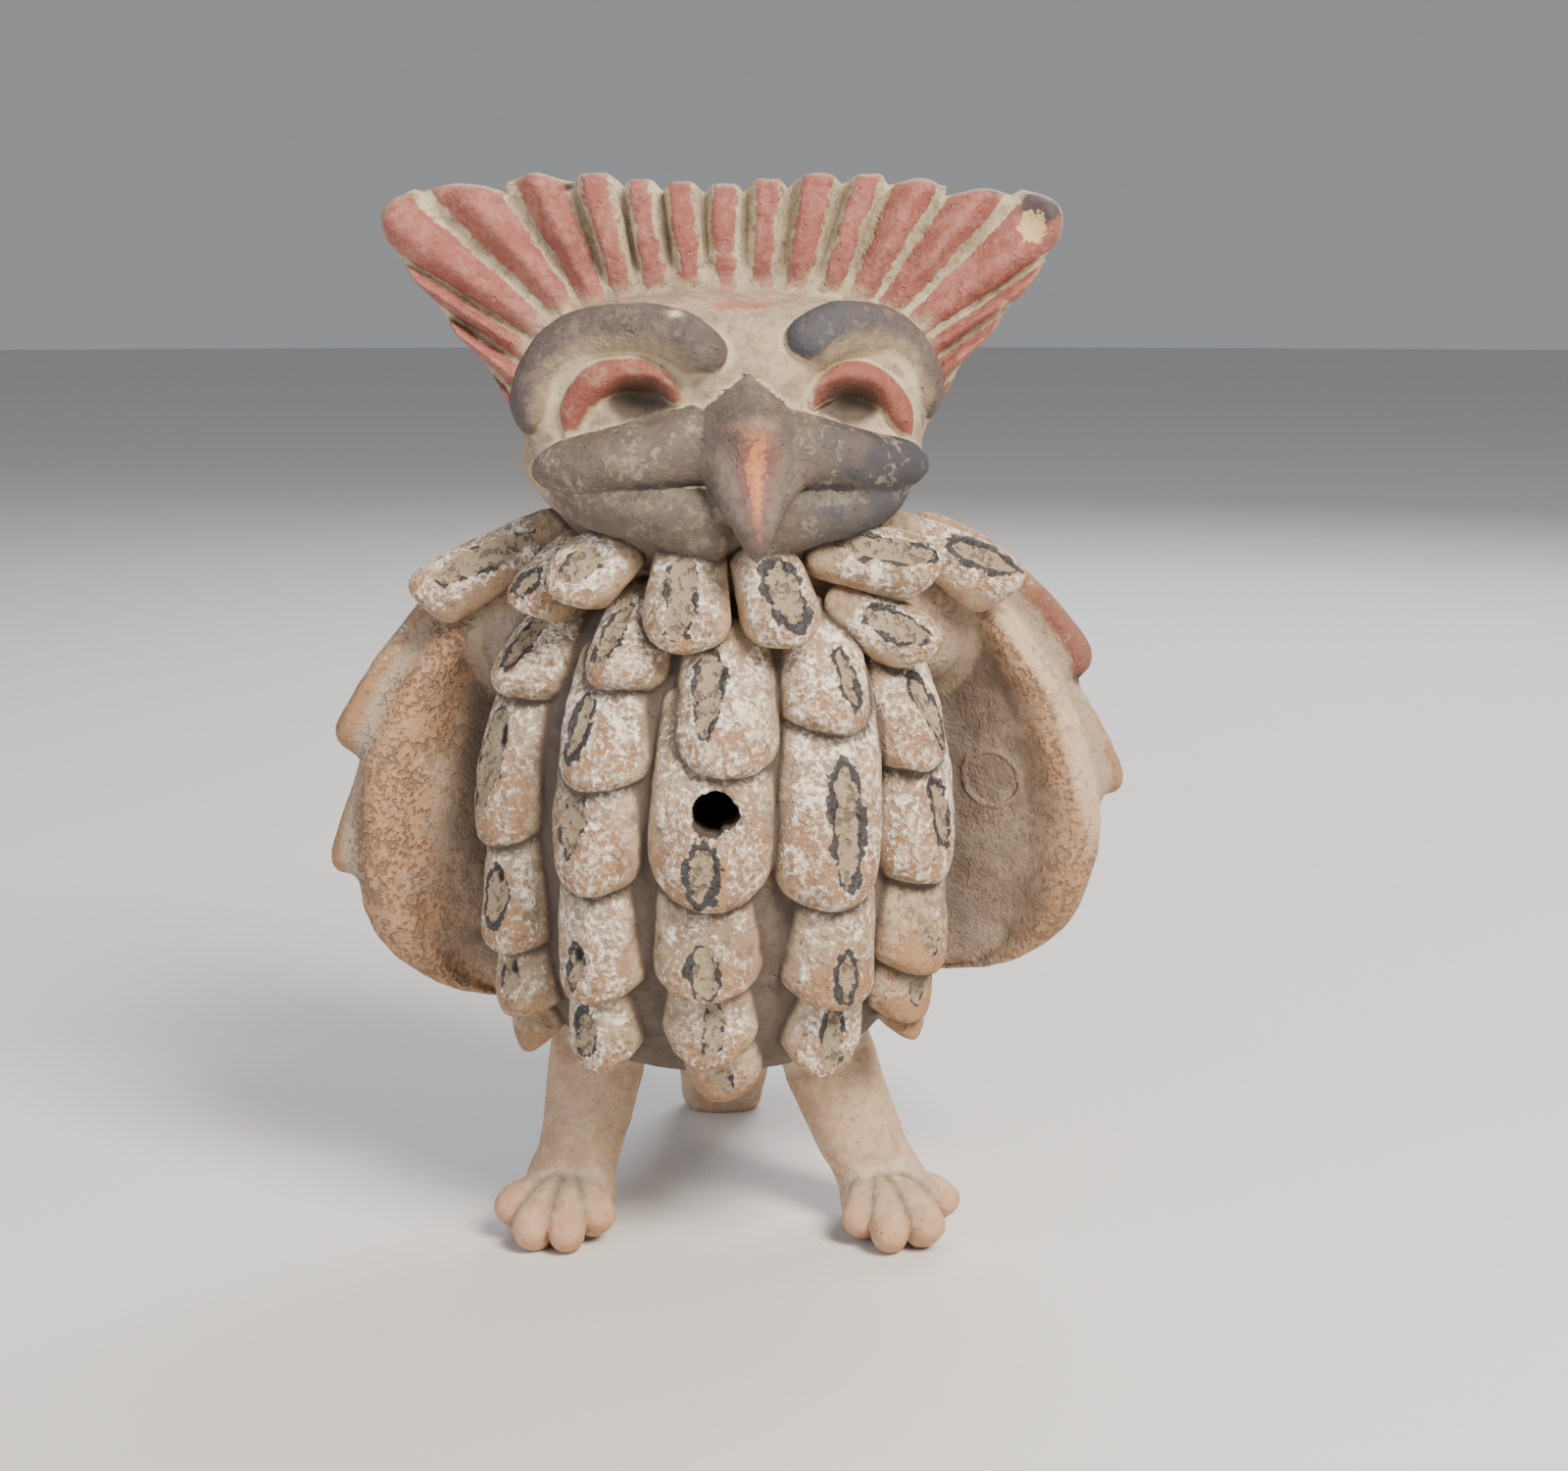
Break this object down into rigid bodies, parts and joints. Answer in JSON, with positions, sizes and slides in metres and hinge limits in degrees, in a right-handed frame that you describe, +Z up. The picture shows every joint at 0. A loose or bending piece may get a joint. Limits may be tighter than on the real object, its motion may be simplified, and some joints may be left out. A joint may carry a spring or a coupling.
{
  "type": "clay bird whistle",
  "caption": "Hollow fired-clay bird figure that is blown at its tail: petal feathers, cupped wings, hooked beak and a fan crest, standing on clawed feet.",
  "frame": {"origin": "on the ground, under the middle of the figure's bounding box", "axes": "+Z up, the face looks towards -Y, the blowpipe tail points towards +Y, and +X is to the right in the front view"},
  "size_m": [0.0818, 0.065, 0.1112],
  "materials": {
    "fired_clay": "matt buff earthenware with worn white slip, red on the crest and lids, and blue-black outlines on the petals"
  },
  "bodies": {
    "root": {"clay_whistle": "fired_clay"}
  },
  "joints": []
}
